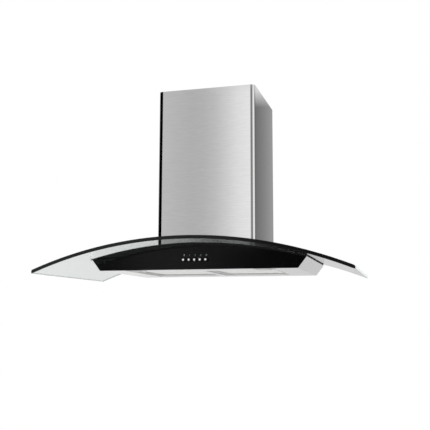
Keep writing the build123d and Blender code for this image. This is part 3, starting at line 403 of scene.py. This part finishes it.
def circuit_board(name):
    """Green board with copper tracks under its mask."""
    made, bench = material(name)
    x, z = bench.axes(bench.place())[::2]
    pitch = 2.54 * MM
    half_width = 0.45 * MM
    half_length = 2.2 * MM
    across = abs((x % pitch) - pitch / 2) < half_width
    along = abs((z % (3 * pitch)) - pitch) < half_length
    track = across * along
    cloud = bench.noise((60, 60, 60), 3.0)
    bench.finish(
        bench.surface(
            Base_Color=bench.tint(track, [0.012, 0.09, 0.03], [0.03, 0.2, 0.07]),
            Roughness=bench.vary(cloud, 0.25, 0.4),
            Normal=bench.bump(track, 0.04, 0.6),
        )
    )
    return made


def push_button_finish(name):
    """Black cap with a pale disc painted into its end: a painted highlight for the bright spot on
    each button's end.
    """
    made, bench = material(name)
    low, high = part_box("push_button_3")
    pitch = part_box("push_button_4")[0].x - low.x
    highlight_radius = 2.7 * MM
    highlight_edge_radius = highlight_radius * 1.12
    x, z = bench.axes(bench.place())[::2]
    across = (x + pitch / 2) % pitch - pitch / 2
    up = z - (low.z + high.z) / 2
    from_centre = across * across + up * up
    # Pale within the disc's radius, black cap outside it: the pale disc is a painted highlight.
    rim = bench.spread(from_centre, highlight_radius**2, highlight_edge_radius**2)
    grain = bench.noise((1500, 1500, 1500))
    bench.finish(
        bench.surface(
            Base_Color=bench.tint(rim, [0.82, 0.83, 0.82], [0.006, 0.006, 0.007]),
            Roughness=bench.vary(grain, 0.28, 0.36),
            Normal=bench.bump(grain, 0.01, 0.4),
        )
    )
    return made


chimney_lines = {"hairline": (6, 6, 1800), "streak": (38, 38, 380)}
body_lines = {"hairline": (6, 1800, 1800), "streak": (14, 420, 420)}

finishes = {
    "chimney": brushed_stainless(
        "chimney_steel", **chimney_lines, shade=0.78, polish=0.02, tube="chimney_lower"
    ),
    "body": brushed_stainless("body_steel", **body_lines, shade=0.76, polish=0.2),
    "galvanised_sheet": galvanised("galvanised_sheet"),
    "clear_glass": clear_glass("canopy_glass"),
    "black_glass": black_glass("black_glass"),
    "frosted_glass": frosted_glass("lamp_glass"),
    "filter_aluminium": plain_metal("filter_aluminium", [0.8, 0.8, 0.79], 0.3, 0.45),
    "mesh_aluminium": bright_mesh("mesh_aluminium"),
    "zinc_fastener": plain_metal("zinc_fastener", [0.62, 0.62, 0.58], 0.25, 0.4),
    "turned_steel": plain_metal("turned_steel", [0.55, 0.55, 0.55], 0.15, 0.28),
    "satin_bezel": plain_metal("satin_bezel", [0.5, 0.5, 0.5], 0.1, 0.18),
    "button_metal": push_button_finish("button_caps"),
    "black_plastic": moulded("black_plastic", [0.018, 0.018, 0.019], roughness=0.5),
    "grey_plastic": moulded("grey_plastic", [0.2, 0.205, 0.21], roughness=0.42),
    "white_plastic": moulded("white_plastic", [0.62, 0.62, 0.6], roughness=0.4),
    "black_rubber": moulded(
        "black_rubber", [0.014, 0.014, 0.014], roughness=0.7, grain_mm=0.4, depth_mm=0.04
    ),
    "motor_paint": moulded(
        "motor_paint", [0.05, 0.053, 0.056], roughness=0.35, grain_mm=1.5, depth_mm=0.05
    ),
    "board_green": circuit_board("circuit_board"),
    "printed_grey": moulded(
        "printed_grey", [0.23, 0.235, 0.235], roughness=0.45, grain_mm=0.3, depth_mm=0.005
    ),
}

# Nodes whose finish isn't the one that their material slot names.
own_finish = {
    "chimney_lower": "chimney",
    "chimney_upper": "chimney",
    "canopy_housing": "body",
    "lamp_bezel_left": "satin_bezel",
    "lamp_bezel_right": "satin_bezel",
}

for part in frame["record"]["subparts"]:
    node = nodes[part["node"]]
    look = own_finish.get(part["node"], part["material_slot"])
    node.data.materials.clear()
    node.data.materials.append(finishes[look])


# ---------------------------------------------------------------- new pieces

# Marks: the height of their row, the side of a sign's square, the line's width, the ink's film.
mark_z = -110.1 * MM
mark_size = 4.6 * MM
mark_line = 0.75 * MM
mark_film = 0.06 * MM

# Expanded metal: a diamond's length and half its width, the strand's width, how far it goes to
# and fro as a share of that half width, and the ripple's length and its share of the room.
diamond_length = 7.5 * MM
diamond_step = 2.6 * MM
strand_width = 1.6 * MM
zigzag_share = 0.42
ripple_length = 19.0 * MM
ripple_share = 0.6

# A strand's section in half widths: four corners, the upper two shifted along the strip's
# width, so that the strand leans.
strand_section = np.array([(-0.6, -0.45), (1, -0.35), (0.6, 0.45), (-1, 0.35)])

# The bent glass, and the enamel border along its front edge.
bend_radius = 1200 * MM
glass_thick = 8 * MM
glass_bevel = 0.8 * MM
border_inset = 3 * MM
border_depth = 4 * MM
border_thick = 0.55 * MM
border_stations = 97


def built(name, points, faces):
    """An object at the origin, from its points and quads."""
    mesh = bpy.data.meshes.new(name)
    mesh.from_pydata(points.tolist(), [], faces.tolist())
    made = bpy.data.objects.new(name, mesh)
    bpy.context.scene.collection.objects.link(made)
    return made


def piece(name, shapes, look, body):
    """One finished piece from (points, quads) pairs, with its finish and what carries it."""
    points, faces = zip(*shapes)
    starts = np.cumsum([0] + [len(block) for block in points[:-1]])
    faces = [block + start for block, start in zip(faces, starts)]
    made = built(name, np.concatenate(points), np.concatenate(faces))
    made.data.materials.append(finishes[look])
    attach(made, body)
    return made


def bar_faces(strands, count):
    """Quads of four-cornered bars, closed at both ends, each with count stations."""
    station = np.arange(count - 1)[:, None] * 4
    side = np.arange(4)[None, :]
    turn = (side + 1) % 4
    walls = np.stack([station + side, station + turn, station + 4 + turn, station + 4 + side], 2)
    last = (count - 1) * 4
    caps = np.array([[3, 2, 1, 0], [last, last + 1, last + 2, last + 3]])
    one = np.concatenate([walls.reshape(-1, 4), caps])
    return (np.arange(strands)[:, None, None] * (count * 4) + one[None]).reshape(-1, 4)


def stroke(path):
    """A flat printed line along a path on the fascia.

    Station i has four corners: path(i) +/- normal(i) * width / 2, on the face and one film
    thickness in front of it.
    """
    along = np.gradient(path, axis=0)
    along /= np.linalg.norm(along, axis=1, keepdims=True)
    aside = np.stack([-along[:, 1], along[:, 0]], 1) * mark_line / 2
    left, right = path + aside, path - aside
    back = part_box("front_fascia")[0].y
    front = back - mark_film
    corners = [(left, back), (right, back), (right, front), (left, front)]
    points = np.stack([np.stack([p[:, 0], 0 * p[:, 0] + y, p[:, 1]], 1) for p, y in corners], 1)
    return points.reshape(-1, 3), bar_faces(1, len(path))


def arc(centre, radius, start, end, count=20):
    """Points (c + r cos t, c + r sin t), t from start to end in degrees."""
    t = np.radians(np.linspace(start, end, count))
    return np.stack([centre[0] + radius * np.cos(t), centre[1] + radius * np.sin(t)], 1)


def line(*corners):
    """Straight runs through corners, with a station each tenth of the way."""
    corners = np.array(corners, float)
    share = np.linspace(0, len(corners) - 1, 10 * (len(corners) - 1) + 1)
    index = np.arange(len(corners))
    return np.stack([np.interp(share, index, corners[:, k]) for k in (0, 1)], 1)


def printed_mark(name, button, paths):
    """A sign over a button, drawn in a square of side 1 about its centre."""
    low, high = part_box(button)
    centre = np.array([(low.x + high.x) / 2, mark_z])
    strokes = [stroke(centre + path * mark_size) for path in paths]
    piece(name, strokes, "printed_grey", "root")


printed_mark(
    "mark_lamp",
    "push_button_1",
    [
        arc((0, 0.14), 0.34, -60, 240, 28),
        line((-0.17, -0.3), (0.17, -0.3)),
        line((-0.12, -0.46), (0.12, -0.46)),
    ],
)
printed_mark("mark_speed_1", "push_button_2", [line((-0.2, 0.3), (0, 0.5), (0, -0.5))])
printed_mark(
    "mark_speed_2",
    "push_button_3",
    [
        np.concatenate([arc((0, 0.24), 0.26, 165, -30), line((0.15, 0.03), (-0.27, -0.46))]),
        line((-0.29, -0.47), (0.29, -0.47)),
    ],
)
printed_mark(
    "mark_speed_3",
    "push_button_4",
    [arc((0, 0.25), 0.22, 150, -95), arc((0, -0.22), 0.26, 95, -150)],
)
printed_mark(
    "mark_power",
    "push_button_5",
    [arc((0, -0.05), 0.4, 120, 420, 32), line((0, 0.5), (0, 0.05))],
)


def mesh_layer(low, high, level, wave, long_way):
    """One layer of expanded metal between two corners.

    Strand j zigzags about v = v0 + (j + 1/2) h. Its stations lie half a diamond apart along u,
    and at station i it moves by (-1)^(i + j) times the zigzag share of h, so that neighbours
    nearly meet at the bonds. The level follows a sine along u. long_way is the axis that u runs
    along. Each station is a leaning four-cornered section.
    """
    u0, u1 = low[long_way], high[long_way]
    v0, v1 = low[1 - long_way], high[1 - long_way]
    stations = int((u1 - u0) / (diamond_length / 2))
    strands = int((v1 - v0) / diamond_step)
    i = np.arange(stations + 1)[None, :]
    j = np.arange(strands)[:, None]
    u = u0 + (u1 - u0) * i / stations + 0 * j
    step = (v1 - v0) / strands
    zigzag = 1 - 2 * ((i + j) % 2)
    v = v0 + step * (j + 0.5) + zigzag * step * zigzag_share
    w = level + wave * np.sin(u * 2 * math.pi / ripple_length)
    section = strand_section * strand_width / 2
    flat = [None, None]
    flat[long_way] = np.repeat(u[..., None], 4, 2)
    flat[1 - long_way] = v[..., None] + section[:, 0]
    points = np.stack([flat[0], flat[1], w[..., None] + section[:, 1]], 3)
    return points.reshape(-1, 3), bar_faces(strands, stations + 1)


def filter_mesh(side):
    """Grease filter: a flat outer layer of expanded aluminium with a rippled one behind it."""
    low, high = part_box(f"filter_mesh_{side}")
    a = np.array([low.x + strand_width, low.y + strand_width])
    b = np.array([high.x - strand_width, high.y - strand_width])
    middle = (low.z + high.z) / 2
    reach = (high.z - low.z) / 2 - strand_width
    layers = [
        mesh_layer(a, b, level=middle - reach, wave=0.0, long_way=0),
        mesh_layer(a, b, level=middle, wave=reach * ripple_share, long_way=1),
    ]
    made = piece(
        f"expanded_mesh_{side}", layers, "mesh_aluminium", f"filter_{side}"
    )
    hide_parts(f"filter_mesh_{side}")


filter_mesh("left")
filter_mesh("right")


def edge_border():
    """Black enamel along the front edge of the glass, one strip above it and one below.

    Station i is at the angle a from upright: (r sin a, y, c + r cos a), where c is the height of
    the bend's axis and r and y go round the strip's four corners.
    """
    low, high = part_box("glass_canopy")
    half = high.x - border_inset
    a = np.linspace(-1, 1, border_stations) * math.asin(half / bend_radius)
    axis_z = high.z - bend_radius
    front, back = low.y + glass_bevel, low.y + border_depth
    strips = []
    for near, outwards in ((bend_radius, 1), (bend_radius - glass_thick, -1)):
        far = near + outwards * border_thick
        corners = [(near, front), (near, back), (far, back), (far, front)][::outwards]
        stations = [[r * np.sin(a), 0 * a + y, axis_z + r * np.cos(a)] for r, y in corners]
        points = np.array(stations).transpose(2, 0, 1)
        strips.append((points.reshape(-1, 3), bar_faces(1, len(a))))
    piece("glass_edge_border", strips, "black_glass", "root")


edge_border()


# ---------------------------------------------------------------- studio

# A drum round the hood, from the floor up. Its strips give the steel and the glass their tones,
# and none is brighter than the peak.
ring_radius = 4.0
ring_sides = 96
ring_top = 5.0
floor_z = -3.2
ring_peak = 1.1

# Three belts of the ring, each a list of strips: degrees from straight in front, positive to
# the right, and the level there. A ramp can't hold a strip narrower than 1.4 degrees. The
# chimney reflects the top belt.
top_belt = [
    (-180, 0.5),
    (-140, 0.55),
    (-98, 0.48),
    (-40, 0.6),
    (-22.5, 0.64),
    (-20.5, 0.62),
    (-19.0, 0.59),
    (-17.5, 0.55),
    (-16.0, 0.54),
    (-14.6, 0.59),
    (-13.2, 0.7),
    (-12.0, 0.84),
    (-10.8, 0.95),
    (-9.2, 1.0),
    (-7.0, 0.44),
    (-4.0, 0.4),
    (8, 0.4),
    (12, 0.22),
    (32, 0.22),
    (46, 0.6),
    (56, 1.0),
    (90, 1.0),
    (102, 0.4),
    (115, 0.18),
    (163.5, 0.14),
    (165.3, 0.185),
    (167.0, 0.4),
    (173, 0.52),
]

# The fascia, the glass's front edge and the upper part of its right end reflect the middle belt.
middle_belt = [
    (-180, 0.6),
    (-168, 0.6),
    (-150, 0.8),
    (-120, 0.95),
    (-60, 0.95),
    (-38, 0.4),
    (-25, 0.35),
    (-21, 0.8),
    (-17, 0.85),
    (-13, 0.6),
    (-9.5, 0.28),
    (-6.5, 0.15),
    (-3, 0.12),
    (2, 0.4),
    (30, 0.55),
    (60, 0.95),
    (140, 0.95),
    (160, 0.8),
    (172, 0.55),
]

# The underside, the body's right end and the lower part of the glass's right end reflect the
# foot of the ring.
foot_belt = [
    (-180, 0.75),
    (-172, 0.81),
    (-166, 0.92),
    (-161, 0.92),
    (-145, 1.08),
    (140, 1.08),
    (160, 0.77),
    (169, 0.67),
    (176, 0.72),
]

# Below the belts is a skirting. The filters reflect its front, and the glass's left part its
# darker rear. It changes between these places in y. Above the belts the ring is plain.
skirting_front = 0.85
skirting_rear = 0.54
skirting_change = (1.8, 2.6)
upper_level = 0.75

# The heights between which one belt gives way to the next.
skirting_to_foot = (-1.1, -0.9)
foot_to_middle = (-0.2, -0.05)
middle_to_top = (0.22, 0.34)
top_to_upper = (1.6, 1.75)

# A narrow black card close to the chimney's left front corner, which gives it its black line.
# It is part of a circle about that corner, in degrees from straight in front.
flag_radius = 0.045
flag_start = -2.5
flag_end = -115
flag_bottom = -0.085
flag_top = 0.44
flag_stations = 24

# The floor: half its side, the white that the camera sees and its share, and the floor's grey.
floor_reach = 30.0
floor_white = 1.04
floor_white_share = 0.92
floor_grey = 0.78

# The world's level for soft light, and the point that the lamps look at.
world_level = 0.72
lamp_aim = (0, -0.2, 0)

# Camera solved from the photograph: 2.3 m in front, to the right and a little below.
camera_place = (0.58807, -2.28692, -0.27878)
camera_yaw = math.radians(15.536)
camera_pitch = math.radians(8.056)
camera_roll = math.radians(0.145)
camera_lens = 59.74
camera_sensor = 36.0


def reflector(name, centre, radius, degrees, bottom, top, closed):
    """An upright sheet that only reflections see, and the bench of its material.

    Point (i, j) is (cx + R sin a, cy - R cos a, h): a goes round with i, h rises with j.
    """
    a = np.radians(degrees)
    x, y = centre[0] + radius * np.sin(a), centre[1] - radius * np.cos(a)
    foot = np.stack([x, y, 0 * a + bottom], 1)
    points = np.concatenate([foot, foot + [0, 0, top - bottom]])
    count = len(a)
    i = np.arange(count if closed else count - 1)
    j = (i + 1) % count
    sheet = built(name, points, np.stack([i, j, j + count, i + count], 1))
    sheet.visible_camera = False
    sheet.visible_diffuse = False
    sheet.visible_transmission = False
    sheet.visible_shadow = False
    made, bench = material(name)
    sheet.data.materials.append(made)
    return sheet, bench


def belt(bench, share, strips):
    """The level of a belt's strips at a share of the way round, as a share of the peak."""
    stops = [(0.5 + degrees / 360, level / ring_peak) for degrees, level in strips]
    return bench.node("ValToRGB", {"stops": stops}, {0: share})


def studio_ring():
    """Open drum round the hood: upright strips, dark and light, in belts above each other."""
    around = np.linspace(0, 360, ring_sides, endpoint=False)
    drum, bench = reflector(
        "studio_ring", (0, 0), ring_radius, around, floor_z, ring_top, closed=True
    )
    x, y, z = bench.axes(bench.place())
    turn = bench.node("Math", {"operation": "ARCTAN2"}, {0: x, 1: y * -1.0})
    share = bench.spread(turn, -math.pi, math.pi)
    rear = bench.spread(y, *skirting_change)
    skirting = bench.tint(rear, skirting_front / ring_peak, skirting_rear / ring_peak)
    foot = bench.tint(
        bench.spread(z, *skirting_to_foot), skirting, belt(bench, share, foot_belt)
    )
    lower = bench.tint(bench.spread(z, *foot_to_middle), foot, belt(bench, share, middle_belt))
    upper = bench.tint(
        bench.spread(z, *top_to_upper), belt(bench, share, top_belt), upper_level / ring_peak
    )
    colour = bench.tint(bench.spread(z, *middle_to_top), lower, upper)
    bench.finish(bench.node("Emission", {}, {"Color": colour, "Strength": ring_peak}))


def studio_flag():
    """Black card beside the chimney's left front corner."""
    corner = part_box("chimney_lower")[0]
    along = np.linspace(flag_start, flag_end, flag_stations)
    card, bench = reflector(
        "studio_flag",
        (corner.x, corner.y),
        flag_radius,
        along,
        flag_bottom,
        flag_top,
        closed=False,
    )
    bench.finish(bench.node("BsdfDiffuse", {}, {"Color": rgba(0.0)}))


def light_path(bench, *kinds):
    """1 for rays of these kinds, 0 for the rest."""
    outputs = bench.node("LightPath").socket.node.outputs
    found = Wire(bench, outputs[f"Is {kinds[0]} Ray"])
    for kind in kinds[1:]:
        found = found | Wire(bench, outputs[f"Is {kind} Ray"])
    return found


def studio_floor():
    """Pale floor under the hood: white to the camera, and it keeps the hood's shadow."""
    corners = np.array([(-1, -1, 0), (1, -1, 0), (1, 1, 0), (-1, 1, 0)]) * floor_reach
    floor = built("floor", corners + [0, 0, floor_z], np.array([(0, 1, 2, 3)]))
    made, bench = material("floor")
    white = bench.node("Emission", {}, {"Color": rgba(1.0), "Strength": floor_white})
    matt = bench.node("BsdfDiffuse", {}, {"Color": rgba(floor_grey)})
    seen = light_path(bench, "Camera", "Transmission")
    bench.finish(bench.blend(seen * floor_white_share, matt, white))
    floor.data.materials.append(made)


def world_light():
    """White to the camera, to reflections and through glass; plain soft light for the rest."""
    world = bpy.data.worlds.new("studio")
    bpy.context.scene.world = world
    world.use_nodes = True
    bench = Bench(world.node_tree)
    seen = light_path(bench, "Camera", "Glossy", "Transmission")
    strength = bench.spread(seen, 0.0, 1.0, world_level, 1.0)
    bench.finish(bench.node("Background", {}, {"Color": rgba(1.0), "Strength": strength}), "World")


def soft_light(name, place, size, power):
    """Square soft box that looks at the hood."""
    lamp = bpy.data.lights.new(name, "AREA")
    lamp.shape = "SQUARE"
    lamp.size = size
    lamp.energy = power
    box = bpy.data.objects.new(name, lamp)
    box.location = place
    box.rotation_mode = "QUATERNION"
    box.rotation_quaternion = (Vector(lamp_aim) - Vector(place)).to_track_quat("-Z", "Y")
    box.visible_glossy = False
    bpy.context.scene.collection.objects.link(box)


def photo_camera():
    """The photograph's camera: it looks along forward, and its frame is turned by the roll."""
    level = Vector((-math.sin(camera_yaw), math.cos(camera_yaw), 0))
    forward = level * math.cos(camera_pitch) + Vector((0, 0, math.sin(camera_pitch)))
    right = Vector((math.cos(camera_yaw), math.sin(camera_yaw), 0))
    up = right.cross(forward)
    tilted_right = right * math.cos(camera_roll) + up * math.sin(camera_roll)
    tilted_up = up * math.cos(camera_roll) - right * math.sin(camera_roll)
    lens = bpy.data.cameras.new("photo_camera")
    lens.sensor_width = camera_sensor
    lens.lens = camera_lens
    camera = bpy.data.objects.new("photo_camera", lens)
    turn = Matrix((tilted_right, tilted_up, -forward)).transposed().to_4x4()
    camera.matrix_world = Matrix.Translation(camera_place) @ turn
    bpy.context.scene.collection.objects.link(camera)
    bpy.context.scene.camera = camera


studio_ring()
studio_flag()
studio_floor()
world_light()
soft_light("key", place=(-1.6, -2.4, 1.8), size=1.6, power=40)
soft_light("fill", place=(2.2, -1.6, 0.6), size=1.2, power=12)
photo_camera()
bpy.context.scene.view_settings.view_transform = "Standard"
